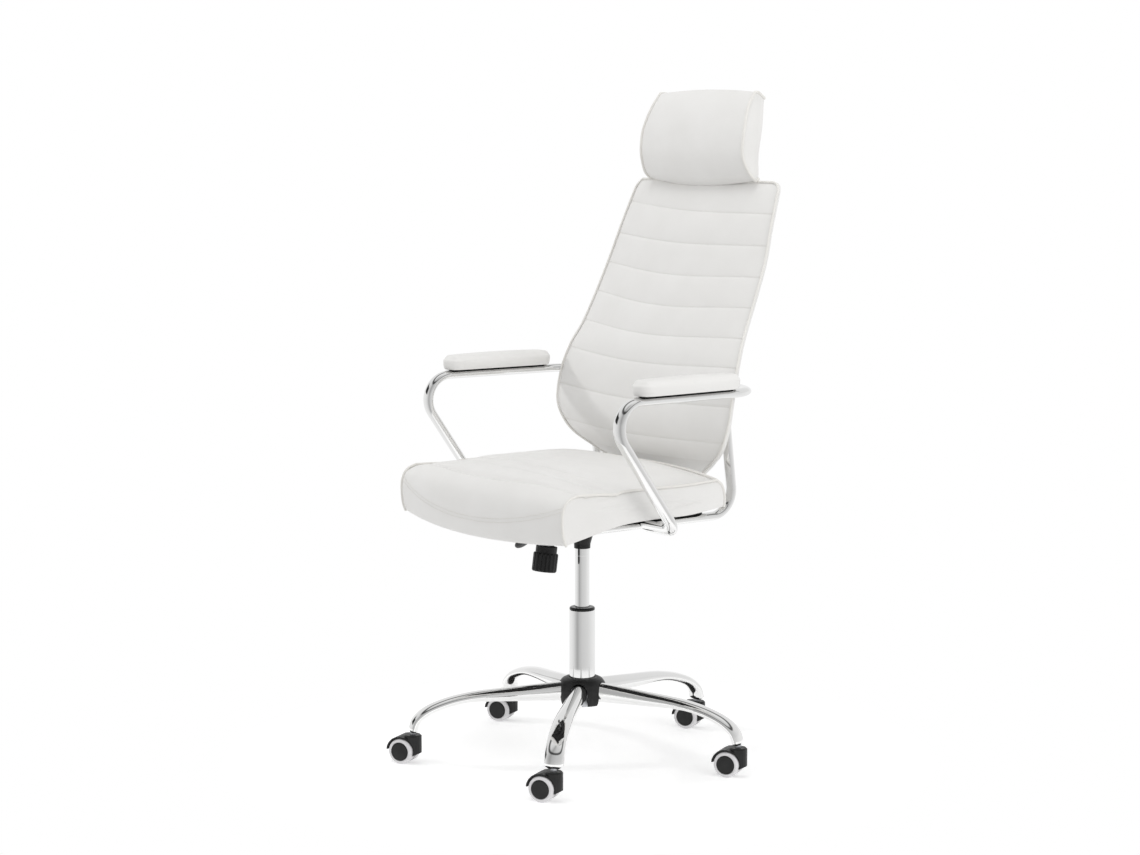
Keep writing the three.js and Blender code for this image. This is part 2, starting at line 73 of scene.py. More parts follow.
# ---- materials ----
class Look:
    """A Principled material with procedural detail. Coordinates are metres on the object."""

    def __init__(self, name, color, roughness, metallic=0.0, **sockets):
        self.mat = bpy.data.materials.new(name)
        self.mat.use_nodes = True
        self.nodes = self.mat.node_tree.nodes
        self.links = self.mat.node_tree.links
        self.shader = self.nodes["Principled BSDF"]
        self.set("Base Color", (*color, 1))
        self.set("Roughness", roughness)
        self.set("Metallic", metallic)
        for key, value in sockets.items():
            self.set(key.replace("_", " "), value)
        self.coords = self.nodes.new("ShaderNodeTexCoord").outputs["Object"]
        self.normal = None

    def set(self, key, value):
        self.shader.inputs[key].default_value = value

    def noise(self, scale, detail=3.0, rough=0.5):
        node = self.nodes.new("ShaderNodeTexNoise")
        node.inputs["Scale"].default_value = scale
        node.inputs["Detail"].default_value = detail
        node.inputs["Roughness"].default_value = rough
        self.links.new(self.coords, node.inputs["Vector"])
        return node.outputs["Fac"]

    def cells(self, scale):
        node = self.nodes.new("ShaderNodeTexVoronoi")
        node.feature = "SMOOTH_F1"
        node.inputs["Scale"].default_value = scale
        self.links.new(self.coords, node.inputs["Vector"])
        return node.outputs["Distance"]

    def spread(self, source, low, high, key=None, start=0.3, end=0.7):
        """Maps the source from start..end to low..high, for the shader's socket where one is named."""
        node = self.nodes.new("ShaderNodeMapRange")
        for name, value in (("From Min", start), ("From Max", end), ("To Min", low), ("To Max", high)):
            node.inputs[name].default_value = value
        self.links.new(source, node.inputs["Value"])
        if key:
            self.links.new(node.outputs["Result"], self.shader.inputs[key])
        return node.outputs["Result"]

    def tint(self, source, first, second):
        """Blends the base colour between two colours by the source."""
        node = self.nodes.new("ShaderNodeValToRGB")
        for element, position, color in zip(node.color_ramp.elements, (0.3, 0.7), (first, second)):
            element.position = position
            element.color = (*color, 1)
        self.links.new(source, node.inputs["Fac"])
        self.links.new(node.outputs["Color"], self.shader.inputs["Base Color"])

    def bump(self, source, strength, distance):
        node = self.nodes.new("ShaderNodeBump")
        node.inputs["Strength"].default_value = strength
        node.inputs["Distance"].default_value = distance
        self.links.new(source, node.inputs["Height"])
        if self.normal:
            self.links.new(self.normal, node.inputs["Normal"])
        self.normal = node.outputs["Normal"]
        self.links.new(self.normal, self.shader.inputs["Normal"])


def leatherette(name, light, dark, grain=0.35):
    look = Look(name, light, 0.48, Specular_IOR_Level=0.42, Sheen_Weight=0.06, Sheen_Roughness=0.5)
    look.tint(look.noise(14, 4), dark, light)
    look.spread(look.noise(45, 3), 0.42, 0.56, "Roughness")
    look.bump(look.cells(820), grain, 0.00018)
    look.bump(look.noise(2600, 2), 0.25, 0.00006)
    look.bump(look.noise(30, 2), 0.25, 0.0012)
    return look.mat


WHITE = leatherette("leatherette", (0.80, 0.793, 0.778), (0.775, 0.767, 0.75))
SIDE = leatherette("leatherette_side", (0.80, 0.79, 0.765), (0.775, 0.764, 0.737))
PIPING = leatherette("piping", (0.80, 0.787, 0.755), (0.77, 0.755, 0.72), 0.5)


def thread():
    look = Look("thread", (0.72, 0.7, 0.66), 0.7)
    look.tint(look.noise(900, 2), (0.68, 0.66, 0.62), (0.76, 0.74, 0.7))
    look.bump(look.noise(4000, 2), 0.5, 0.0001)
    return look.mat


THREAD = thread()


def chrome():
    look = Look("chrome", (0.87, 0.87, 0.865), 0.05, 1.0)
    look.tint(look.noise(9, 3), (0.85, 0.85, 0.845), (0.89, 0.89, 0.885))
    look.spread(look.noise(60, 4, 0.6), 0.035, 0.085, "Roughness")
    look.bump(look.noise(22, 2), 0.02, 0.001)
    return look.mat


CHROME = chrome()


def steel():
    look = Look("steel", (0.50, 0.51, 0.53), 0.25, 1.0)
    look.tint(look.noise(40, 3), (0.50, 0.51, 0.53), (0.58, 0.59, 0.61))
    look.spread(look.noise(1500, 3, 0.7), 0.25, 0.4, "Roughness")
    look.bump(look.noise(1500, 2), 0.15, 0.00005)
    return look.mat


STEEL = steel()


def black(name, value, low, high, grain=0.3, scale=1400):
    """A near-black of the given brightness, with its roughness from low to high."""
    look = Look(name, (value,) * 3, low, Specular_IOR_Level=0.28)
    look.tint(look.noise(50, 3), (value * 0.8,) * 3, (value * 1.35,) * 3)
    look.spread(look.noise(120, 4), low, high, "Roughness")
    look.bump(look.noise(scale, 3), grain, 0.00012)
    return look.mat


PLASTIC = black("black_plastic", 0.012, 0.34, 0.46)
GLOSS = black("gloss_plastic", 0.01, 0.12, 0.2, 0.1)
DISC = black("wheel_disc", 0.014, 0.45, 0.55, 0.2)
PAINT = black("black_paint", 0.018, 0.3, 0.5, 0.5, 500)
CLOTH = black("black_cover", 0.016, 0.85, 0.95, 0.8, 1100)


def tread():
    look = Look("wheel_tread", (0.62, 0.61, 0.62), 0.5, Specular_IOR_Level=0.4)
    look.tint(look.noise(60, 3), (0.58, 0.57, 0.58), (0.66, 0.65, 0.66))
    look.spread(look.noise(200, 3), 0.45, 0.62, "Roughness")
    look.bump(look.noise(1500, 2), 0.2, 0.0001)
    return look.mat


TREAD = tread()


# ---- making meshes ----
def add_mesh(name, verts, faces, mat, sharp=None):
    """A smooth-shaded object. Edges that turn by more than sharp degrees stay crisp."""
    mesh = bpy.data.meshes.new(name)
    mesh.from_pydata([tuple(map(float, v)) for v in verts], [], faces)
    mesh.validate()
    bm = bmesh.new()
    bm.from_mesh(mesh)
    bmesh.ops.recalc_face_normals(bm, faces=bm.faces)
    bm.to_mesh(mesh)
    bm.free()
    mesh.polygons.foreach_set("use_smooth", [True] * len(mesh.polygons))
    if sharp:
        mesh.set_sharp_from_angle(angle=math.radians(sharp))
    mesh.materials.append(mat)
    obj = bpy.data.objects.new(name, mesh)
    scene.collection.objects.link(obj)
    return obj


def settle(obj, body, replaces=()):
    """Rides on the body, standing for the CAD nodes named."""
    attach(obj, body)
    if replaces:
        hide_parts(*replaces)
    return obj


def smooth_line(points, count):
    """A Catmull-Rom curve through the points, as count evenly spaced points."""
    p = np.asarray(points, float)
    p = np.vstack([2 * p[0] - p[1], p, 2 * p[-1] - p[-2]])
    out = []
    for i in range(1, len(p) - 2):
        for t in np.linspace(0, 1, 16, endpoint=False):
            a = 2 * p[i]
            b = (p[i + 1] - p[i - 1]) * t
            c = (2 * p[i - 1] - 5 * p[i] + 4 * p[i + 1] - p[i + 2]) * t * t
            d = (3 * p[i] - p[i - 1] - 3 * p[i + 1] + p[i + 2]) * t ** 3
            out.append((a + b + c + d) / 2)
    out.append(p[-2])
    return resample(np.array(out), count)


def resample(line, count):
    """The line again, as count points at equal steps along it."""
    steps = np.linalg.norm(np.diff(line, axis=0), axis=1)
    length = np.concatenate([[0], np.cumsum(steps)])
    want = np.linspace(0, length[-1], count)
    return np.stack([np.interp(want, length, line[:, k]) for k in range(line.shape[1])], 1)


BEND_STEP = 4  # degrees between the points of a bend


def bent_line(corners):
    """Straight runs joined by bends: corners are (x, y, z, bend radius), as the CAD's tubes are."""
    places = [np.array(c[:3], float) for c in corners]
    points = [places[0]]
    for i in range(1, len(places) - 1):
        back = places[i - 1] - places[i]
        on = places[i + 1] - places[i]
        back /= np.linalg.norm(back)
        on /= np.linalg.norm(on)
        turn = math.pi - math.acos(float(np.clip(back @ on, -1, 1)))
        radius = corners[i][3]
        bisector = (back + on) / np.linalg.norm(back + on)
        centre = places[i] + bisector * radius / math.cos(turn / 2)
        start = places[i] + back * radius * math.tan(turn / 2) - centre
        axis = Vector(np.cross(on, back)).normalized()
        steps = max(3, math.ceil(math.degrees(turn) / BEND_STEP))
        for k in range(steps + 1):
            spoke = Matrix.Rotation(turn * k / steps, 3, axis) @ Vector(start)
            points.append(np.array(spoke) + centre)
    points.append(places[-1])
    return np.array(points)


def carried(points, side):
    """Two directions across the line at each point, turned with it."""
    p = np.asarray(points, float)
    tangent = np.gradient(p, axis=0)
    tangent /= np.linalg.norm(tangent, axis=1)[:, None]
    side = Vector(side)
    sides, ups = [], []
    for i, t in enumerate(tangent):
        if i:
            side = Vector(tangent[i - 1]).rotation_difference(Vector(t)) @ side
        side = (side - side.dot(Vector(t)) * Vector(t)).normalized()
        sides.append(np.array(side))
        ups.append(np.cross(t, sides[-1]))
    return np.array(sides), np.array(ups)


def tube(name, points, side, sizes, mat, sides=28, closed=False):
    """A swept oval. sizes is (half wide, half thin) in metres, or a function of the share of the length."""
    p = np.asarray(points, float)
    across, up = carried(p, side)
    steps = np.linalg.norm(np.diff(p, axis=0), axis=1)
    share = np.concatenate([[0], np.cumsum(steps)]) / steps.sum()
    angle = np.arange(sides) / sides * 2 * math.pi
    rings = []
    for i in range(len(p)):
        wide, thin = sizes(share[i]) if callable(sizes) else sizes
        sideways = np.outer(np.cos(angle) * wide, across[i])
        rings.append(p[i] + sideways + np.outer(np.sin(angle) * thin, up[i]))
    n = len(rings)
    faces = []
    for i in range(n if closed else n - 1):
        a, b = i * sides, (i + 1) % n * sides
        for k in range(sides):
            j = (k + 1) % sides
            faces.append((a + k, a + j, b + j, b + k))
    verts = np.vstack(rings)
    if not closed:
        faces.append(tuple(range(sides)))
        faces.append(tuple(range((n - 1) * sides, n * sides)))
    return add_mesh(name, verts, faces, mat, 50)


def rounded(profile, radius):
    """The (r, z) profile with its corners rounded, except at its two ends."""
    p = [np.array(q, float) for q in profile]
    out = [p[0]]
    for i in range(1, len(p) - 1):
        back, on = p[i - 1] - p[i], p[i + 1] - p[i]
        lb, lo = np.linalg.norm(back), np.linalg.norm(on)
        cut = min(radius, 0.45 * lb, 0.45 * lo)
        a, b = p[i] + back / lb * cut, p[i] + on / lo * cut
        for t in np.linspace(0, 1, 5):
            out.append((1 - t) ** 2 * a + 2 * t * (1 - t) * p[i] + t * t * b)
    out.append(p[-1])
    return out


def lathe(name, profile, centre, mat, radius=0.8, sides=64, axis=(0, 0, 1), sharp=35):
    """Turned from an (r, z) profile in millimetres about the axis through centre, which is in metres."""
    points = rounded(profile, radius)
    loop = np.linalg.norm(points[0] - points[-1]) < 1e-9
    if loop:
        points = points[:-1]
    verts, rows = [], []
    for r, z in points:
        if r < 1e-9:
            rows.append([len(verts)] * sides)
            verts.append((0, 0, z * MM))
            continue
        rows.append(list(range(len(verts), len(verts) + sides)))
        for k in range(sides):
            angle = 2 * math.pi * k / sides
            verts.append((r * MM * math.cos(angle), r * MM * math.sin(angle), z * MM))
    faces = []
    for i in range(len(rows) if loop else len(rows) - 1):
        a, b = rows[i], rows[(i + 1) % len(rows)]
        for k in range(sides):
            j = (k + 1) % sides
            corners = dict.fromkeys([a[k], a[j], b[j], b[k]])
            if len(corners) > 2:
                faces.append(tuple(corners))
    turn = Vector((0, 0, 1)).rotation_difference(Vector(axis)).to_matrix()
    verts = [turn @ Vector(v) + Vector(centre) for v in verts]
    return add_mesh(name, verts, faces, mat, sharp)


def cut(obj, cutters):
    """Cuts the cutters out of obj, and removes them."""
    for cutter in cutters:
        mod = obj.modifiers.new("cut", "BOOLEAN")
        mod.object = cutter
        mod.operation = "DIFFERENCE"
        mod.solver = "EXACT"
    bake(obj)
    for cutter in cutters:
        bpy.data.objects.remove(cutter)


def bake(obj):
    """Applies the modifiers."""
    graph = bpy.context.evaluated_depsgraph_get()
    mesh = bpy.data.meshes.new_from_object(obj.evaluated_get(graph))
    obj.modifiers.clear()
    obj.data = mesh


EDGE_ANGLE = math.radians(32)  # an edge that turns by less stays a smooth one


def soften(obj, width):
    """Rounds the edges of a hard piece. width is in millimetres."""
    mod = obj.modifiers.new("edges", "BEVEL")
    mod.width = width * MM
    mod.segments = 2
    mod.limit_method = "ANGLE"
    mod.angle_limit = EDGE_ANGLE
    mod.harden_normals = True
    obj.data.polygons.foreach_set("use_smooth", [True] * len(obj.data.polygons))
    obj.data.set_sharp_from_angle(angle=EDGE_ANGLE)


# ---- camera, floor and light ----
BACKDROP = 1.0  # brightness of the background and of the floor's rim
AMBIENT = 0.72  # brightness of the soft light from all sides
FLOOR_GLOW = 0.3  # the light that the floor gives off by itself
FLOOR_RADIUS = 0.74
FLOOR_FADE = (0.46, 0.7)  # where the floor starts to blend into the background, and where it is gone

LOOK_AT = (-14.3, -19.1, 651.7)  # the camera's target, in millimetres from the column axis
AZIMUTH, ELEVATION, DISTANCE = 53.33, 6.95, 4.841  # the camera from its target: degrees, degrees, metres
LENS, SENSOR = 78.95, 36
LIGHTS_AT = (0, 0, 700)  # what the lights face, in millimetres from the column axis
LIGHTS = [("key", -50, 21, 3.6, 0.2, 21), ("top", 20, 78, 3.2, 1.6, 24),
          ("side", 100, 8, 3.4, 2.6, 37)]  # azimuth and elevation in degrees, distance, size and watts

# What polished metal reflects, as (place, grey): round the chair by the share of a turn, and up by the
# sine of the elevation, with one dark band. The two gaps together mark a dark patch.
NEAR_SIDE = [(0.0, 0.92), (0.09, 0.88), (0.16, 0.78), (0.21, 0.64), (0.255, 0.47), (0.285, 0.42),
             (0.32, 0.54), (0.40, 0.66), (0.54, 0.74), (0.65, 0.86), (0.73, 0.92), (1.0, 0.92)]
CEILING = [(0.0, 1.0), (0.18, 1.0), (0.34, 0.9), (0.70, 0.88), (0.76, 0.12), (0.82, 0.12), (0.88, 0.9),
           (1.0, 0.9)]
GAP_AROUND = [(0.0, 0.0), (0.03, 0.0), (0.055, 1.0), (0.14, 1.0), (0.17, 0.0), (1.0, 0.0)]
GAP_UP = [(0.0, 0.0), (0.14, 0.0), (0.19, 1.0), (0.46, 1.0), (0.52, 0.0), (1.0, 0.0)]
GAP_GREY = 0.03


def place_facing(obj, target, azimuth, elevation, distance):
    """Puts obj at the distance from the target, in the direction given in degrees, facing it."""
    a, e = math.radians(azimuth), math.radians(elevation)
    outward = Vector((math.sin(a) * math.cos(e), -math.cos(a) * math.cos(e), math.sin(e)))
    obj.location = Vector(at(target)) + outward * distance
    obj.rotation_euler = (-outward).to_track_quat("-Z", "Y").to_euler()
    scene.collection.objects.link(obj)


def add_stage():
    camera = bpy.data.objects.new("camera", bpy.data.cameras.new("camera"))
    camera.data.lens = LENS
    camera.data.sensor_width = SENSOR
    place_facing(camera, LOOK_AT, AZIMUTH, ELEVATION, DISTANCE)
    scene.camera = camera

    add_floor()
    add_world()
    for row in LIGHTS:
        add_light(*row)
    scene.view_settings.view_transform = "Standard"


def add_floor():
    """A pale disc that blends into the white background toward its rim."""
    look = Look("floor", (0.93, 0.93, 0.93), 0.9)
    look.tint(look.noise(2, 2), (0.925, 0.925, 0.925), (0.935, 0.935, 0.935))
    look.set("Emission Color", (1, 1, 1, 1))
    look.set("Emission Strength", FLOOR_GLOW)
    reach = look.nodes.new("ShaderNodeVectorMath")
    reach.operation = "LENGTH"
    look.links.new(look.coords, reach.inputs[0])
    fade = look.spread(reach.outputs["Value"], 0, 1, start=FLOOR_FADE[0], end=FLOOR_FADE[1])
    backdrop = look.nodes.new("ShaderNodeEmission")
    backdrop.inputs["Color"].default_value = (BACKDROP,) * 3 + (1,)
    mix = look.nodes.new("ShaderNodeMixShader")
    look.links.new(fade, mix.inputs["Fac"])
    look.links.new(look.shader.outputs["BSDF"], mix.inputs[1])
    look.links.new(backdrop.outputs["Emission"], mix.inputs[2])
    look.links.new(mix.outputs["Shader"], look.nodes["Material Output"].inputs["Surface"])
    around = [math.tau * i / 96 for i in range(96)]
    rim = [(FLOOR_RADIUS * math.cos(a), FLOOR_RADIUS * math.sin(a), 0) for a in around]
    add_mesh("floor", rim, [tuple(range(96))], look.mat)


def add_light(name, azimuth, elevation, distance, size, power):
    """A square soft light that doesn't show in the polished metal."""
    light = bpy.data.objects.new(name, bpy.data.lights.new(name, "AREA"))
    light.data.shape = "RECTANGLE"
    light.data.size = size
    light.data.size_y = size
    light.data.energy = power
    light.visible_glossy = False
    place_facing(light, LIGHTS_AT, azimuth, elevation, distance)


def ramp(tree, source, stops):
    """The greys at the stops, blended in between, by the source."""
    node = tree.nodes.new("ShaderNodeValToRGB")
    elements = node.color_ramp.elements
    while len(elements) > 1:
        elements.remove(elements[-1])
    elements[0].position = stops[0][0]
    for position, _ in stops[1:]:
        elements.new(position)
    for element, (_, grey) in zip(elements, stops):
        element.color = (grey, grey, grey, 1)
    tree.links.new(source, node.inputs["Fac"])
    return node.outputs["Color"]


def add_world():
    """A white background, even light from all sides, and for polished metal the greys listed above."""
    world = bpy.data.worlds.new("studio")
    world.use_nodes = True
    tree = world.node_tree
    nodes, links = tree.nodes, tree.links
    direction = nodes.new("ShaderNodeTexCoord").outputs["Generated"]
    around = nodes.new("ShaderNodeTexGradient")
    around.gradient_type = "RADIAL"
    links.new(direction, around.inputs["Vector"])
    turn = around.outputs["Fac"]
    split = nodes.new("ShaderNodeSeparateXYZ")
    links.new(direction, split.inputs[0])
    height = split.outputs["Z"]
    both = nodes.new("ShaderNodeMix")
    both.data_type = "RGBA"
    both.blend_type = "MULTIPLY"
    both.inputs["Factor"].default_value = 1
    links.new(ramp(tree, turn, NEAR_SIDE), both.inputs["A"])
    links.new(ramp(tree, height, CEILING), both.inputs["B"])
    gap = nodes.new("ShaderNodeMath")
    gap.operation = "MULTIPLY"
    links.new(ramp(tree, turn, GAP_AROUND), gap.inputs[0])
    links.new(ramp(tree, height, GAP_UP), gap.inputs[1])
    metal = choose(tree, gap.outputs[0], both.outputs["Result"], (GAP_GREY,) * 3 + (1,))
    rays = nodes.new("ShaderNodeLightPath")
    color = choose(tree, rays.outputs["Is Glossy Ray"], (AMBIENT,) * 3 + (1,), metal)
    color = choose(tree, rays.outputs["Is Camera Ray"], color, (BACKDROP,) * 3 + (1,))
    links.new(color, nodes["Background"].inputs["Color"])
    scene.world = world


def choose(tree, test, when_not, when):
    """One colour or the other, each a socket or a plain value."""
    node = tree.nodes.new("ShaderNodeMix")
    node.data_type = "RGBA"
    tree.links.new(test, node.inputs["Factor"])
    for key, value in (("A", when_not), ("B", when)):
        if isinstance(value, tuple):
            node.inputs[key].default_value = value
        else:
            tree.links.new(value, node.inputs[key])
    return node.outputs["Result"]


add_stage()


# ---- base ----
LEG = [(31, 0, 133), (130, 0, 130.5), (225, 0, 126), (290, 0, 109), (324, 0, 87), (334.5, 0, 61)]
ARCHES = [(133, 20.4), (112, 24)]  # the middle and half height of the two ovals cut out round each leg
ARCH_FROM, ARCH_TO, ARCH_HALF_WIDE = 30, 62, 17.5


def leg_size(share):
    """A leg's half width and half height: it thins and widens outward, and is rounded at its tip."""
    half_high = 9.5 + 10.5 * max(0.0, 1 - share / 0.62) ** 1.1
    tip = 1 - 0.5 * max(0.0, (share - 0.985) / 0.015) ** 2
    return (16.5 + 2.5 * share) * MM * tip, half_high * MM * tip


def add_base():
    leg_line = smooth_line(LEG, 60)
    arches = []
    for i in range(1, 6):
        stem = middle(f"caster_stem_{i}")
        bearing = math.atan2(stem.y - AXIS[1], stem.x - AXIS[0])
        turn = Matrix.Rotation(bearing, 3, "Z")
        side = turn @ Vector((0, 1, 0))
        leg = tube(f"leg_{i}", at([tuple(turn @ Vector(p)) for p in leg_line]), side, leg_size, CHROME, 40)
        settle(leg, "base", [f"star_leg_{i}"])
        for height, tall in ARCHES:
            run = [tuple(turn @ Vector((reach, 0, height))) for reach in (ARCH_FROM, ARCH_TO)]
            arches.append(tube("arch", at(run), side, (ARCH_HALF_WIDE * MM, tall * MM), PLASTIC, 48))

    centre = Vector(at((0, 0, 0)))
    hub_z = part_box("hub_cover")[1].z / MM
    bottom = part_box("hub_cover")[0].z / MM
    cover = lathe("hub_shell", [
        (25.4, hub_z - 3.5), (25.4, hub_z), (31, hub_z), (39.5, hub_z - 4), (45, hub_z - 12),
        (47.5, hub_z - 23), (47.5, bottom + 6), (45, bottom), (42, bottom), (42, hub_z - 18),
        (36, hub_z - 7), (25.4, hub_z - 3.5)], centre, PLASTIC, 2.5, 96)
    cut(cover, arches)
    soften(cover, 0.8)
    settle(cover, "base", ["hub_cover"])

    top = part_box("column_tube")[1].z / MM
    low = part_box("column_tube")[0].z / MM
    column = lathe("column", [(5.4, low), (25, low), (25, top), (23, top), (23, low + 4), (5.4, low + 4),
                              (5.4, low)], centre, CHROME, 0.8, 96)
    settle(column, "base", ["column_tube"])
    bush_low, bush_high = (v.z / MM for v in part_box("guide_bush"))
    collar = lathe("column_collar", [
        (14.3, bush_low), (22.7, bush_low), (22.7, top + 0.3), (24.9, top + 0.3), (24.9, bush_high - 2),
        (23, bush_high), (14.3, bush_high), (14.3, bush_low)], centre, GLOSS, 0.8, 96)
    settle(collar, "base", ["guide_bush"])


add_base()


# ---- casters ----
# Radius and distance out from the middle of the axle.
TREAD_RING = [(3.3, 4.6), (24.2, 4.6), (25, 5.8), (25, 17.5), (24.2, 20), (22.0, 21.9), (18.6, 22.2),
              (18.0, 20.6), (3.3, 20.6), (3.3, 4.6)]
WHEEL_DISC = [(0, 20.9), (17.9, 20.9), (17.9, 22.0), (16.2, 22.6), (0, 22.9)]


def add_casters():
    for i in range(1, 6):
        stem = middle(f"caster_stem_{i}")
        left, right = middle(f"wheel_left_{i}"), middle(f"wheel_right_{i}")
        axle = (left + right) / 2
        forward = Vector((stem.x - axle.x, stem.y - axle.y, 0)).normalized()
        along = Vector((-forward.y, forward.x, 0))
        if along.dot(left - right) < 0:
            along = -along
        for word, sign in (("left", 1), ("right", -1)):
            out = along * sign
            ring = lathe(f"tread_{word}_{i}", TREAD_RING, axle, TREAD, 0.9, 72, out)
            settle(ring, f"wheels_{i}", [f"wheel_{word}_{i}"])
            disc = lathe(f"disc_{word}_{i}", WHEEL_DISC, axle, DISC, 0.6, 64, out)
            settle(disc, f"wheels_{i}")


add_casters()


# ---- gas lift and mechanism ----
CYLINDER_LINE = 401  # the height of the fine groove round the cylinder
TAPER_CUP = [(14.4, 415.6), (15.8, 415.6), (16.1, 424), (21.5, 443.5), (21.5, 445.7), (14.4, 445.7),
             (14.4, 415.6)]


def add_lift():
    centre = Vector(at((0, 0, 0)))
    low, high = (v.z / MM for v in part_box("gas_cylinder"))
    cylinder = lathe("lift_cylinder", [
        (0, high - 22), (11, high - 22), (11, low + 8), (5.4, low + 8), (5.4, low), (14, low),
        (14, CYLINDER_LINE - 0.8), (13.8, CYLINDER_LINE), (14, CYLINDER_LINE + 0.8), (14, 418), (13.2, high),
        (4.4, high), (4.4, high - 13), (0, high - 13)], centre, CHROME, 0.4, 80)
    settle(cylinder, "lift", ["gas_cylinder"])
    cup = lathe("taper_cup", TAPER_CUP, centre, PLASTIC, 0.8, 72)
    settle(cup, "lift")


LEVER = [(14, 0, 472.5), (-108, 0, 472.5, 30), (-200, 0, 399)]
LEVER_RADIUS = 3.5
GRIP_ENDS = [(-150, 0, 439), (-216, 0, 387)]


def grip_size(share):
    """The lever grip's half width and half thickness: a flat paddle with round ends."""
    full = math.sqrt(max(0.0, 1 - abs(2 * share - 1) ** 3.2))
    return (1 + 15.5 * full) * MM, (0.6 + 6.6 * full) * MM


def add_lever():
    lever = tube("lever_rod", at(bent_line(LEVER)), (0, 1, 0), (LEVER_RADIUS * MM,) * 2, STEEL, 24)
    settle(lever, "lever", ["height_lever"])
    points = resample(np.array(GRIP_ENDS, float), 40)
    grip = tube("lever_paddle", at(points), (0, 1, 0), grip_size, PLASTIC, 40)
    settle(grip, "lever", ["lever_grip"])


# The knob: radius and height, down the outside and back up the bore.
KNOB = [(12, -117), (22.4, -117), (23.6, -115.6), (24, -113.5), (24, -84), (23.6, -82), (22.4, -81),
        (20.9, -81), (20.7, -80.4), (20.7, -68.3), (20, -67.5), (17.8, -67.5), (17.2, -68.2), (17.2, -109),
        (5.2, -109), (5.2, -117)]
KNOB_ORIGIN = (0, -76, 495)  # its heights count from here, along the tension bolt
KNOB_LEAN = math.radians(-8)
RIBS = 18
RIB_DEPTH = 1.7
COIL_TURNS, COIL_STEPS = 5, 24
COIL_RADIUS, COIL_FOOT, COIL_TALL = 14, -106.2, 52
WIRE_RADIUS = 2.1


def add_knob():
    origin = Vector(at(KNOB_ORIGIN))
    turn = Matrix.Rotation(KNOB_LEAN, 3, "X")
    sides = RIBS * 8
    verts = []
    for radius, z in KNOB:
        ribbed = radius > 23 and z < -81.5
        for k in range(sides):
            angle = math.tau * k / sides
            groove = RIB_DEPTH * max(0.0, math.sin(RIBS * angle)) if ribbed else 0.0
            r = radius - groove
            verts.append(origin + turn @ Vector((r * math.cos(angle), r * math.sin(angle), z)) * MM)
    faces = []
    for i in range(len(KNOB)):
        a, b = i * sides, (i + 1) % len(KNOB) * sides
        for k in range(sides):
            j = (k + 1) % sides
            faces.append((a + k, a + j, b + j, b + k))
    knob = add_mesh("knob", verts, faces, PLASTIC, 40)
    settle(knob, "knob", ["tension_knob"])

    coil = []
    steps = COIL_TURNS * COIL_STEPS
    for k in range(steps + 1):
        angle = k / COIL_STEPS * math.tau
        height = COIL_FOOT + COIL_TALL * k / steps
        local = Vector((COIL_RADIUS * math.cos(angle), COIL_RADIUS * math.sin(angle), height)) * MM
        coil.append(tuple(origin + turn @ local))
    spring = tube("spring", coil, (1, 0, 0), (WIRE_RADIUS * MM,) * 2, STEEL, 12)
    settle(spring, "seat", ["tension_spring"])
    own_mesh(spring)


add_lift()
add_lever()
add_knob()


def dress_cad():
    """Gives each CAD node that stays in view its material and rounded edges."""
    looks = {"steel": STEEL, "black_plastic": PLASTIC, "black_steel": PAINT, "plywood": CLOTH}
    for row in frame["record"]["subparts"]:
        node = frame["nodes"][row["node"]]
        look = looks.get(row["material_slot"])
        if node.hide_render or look is None:
            continue
        node.data.materials.clear()
        node.data.materials.append(look)
        soften(node, 0.5)


# ---- tubes ----
ARM_FRONT, ARM_REAR = (312, -196), (297, 182.5)  # the arm's bends, seen from above
PAD_LINE = 736  # the height of the arm tube's run under the pad
SEAT_TUBES = 490.5  # the height of the tubes' runs under the seat
ARM_HALF, BACK_HALF = (14.5, 8.5), (12, 8)  # half the tubes' widths and thicknesses


def add_tubes():
    for word, s in (("left", 1), ("right", -1)):
        arm_line = bent_line([
            (s * 95, ARM_REAR[1], 742), (s * ARM_REAR[0], ARM_REAR[1], PAD_LINE, 54),
            (s * ARM_FRONT[0], ARM_FRONT[1], PAD_LINE, 48), (s * ARM_FRONT[0], -20, SEAT_TUBES, 30),
            (s * 222.7, -20, SEAT_TUBES)])
        back_line = bent_line([
            (s * 210, -150, SEAT_TUBES), (s * 210, 206, SEAT_TUBES, 48), (s * 210, 178, 728)])
        arm = tube(f"arm_loop_{word}", at(arm_line), (0, 1, 0), np.array(ARM_HALF) * MM, CHROME, 40)
        settle(arm, "seat", [f"arm_tube_{word}"])
        rear = tube(f"back_frame_{word}", at(back_line), (1, 0, 0), np.array(BACK_HALF) * MM, CHROME, 40)
        settle(rear, "seat", [f"back_tube_{word}"])


add_tubes()


# ---- soft pieces ----
def grid_box(na, nb, nc):
    """The surface of a -1..1 cube as a grid: its points and quads."""
    index, params, faces = {}, [], []

    def point(i, j, k):
        if (i, j, k) not in index:
            index[i, j, k] = len(params)
            params.append((2 * i / na - 1, 2 * j / nb - 1, 2 * k / nc - 1))
        return index[i, j, k]

    def quad(*corners):
        faces.append(tuple(point(*corner) for corner in corners))

    for i in range(na):
        for j in range(nb):
            for k in (0, nc):
                quad((i, j, k), (i + 1, j, k), (i + 1, j + 1, k), (i, j + 1, k))
    for i in range(na):
        for k in range(nc):
            for j in (0, nb):
                quad((i, j, k), (i + 1, j, k), (i + 1, j, k + 1), (i, j, k + 1))
    for j in range(nb):
        for k in range(nc):
            for i in (0, na):
                quad((i, j, k), (i, j + 1, k), (i, j + 1, k + 1), (i, j, k + 1))
    return np.array(params), faces


CLOTH_FRAMES = 20
CLOTH_STIFFNESS = 15.0


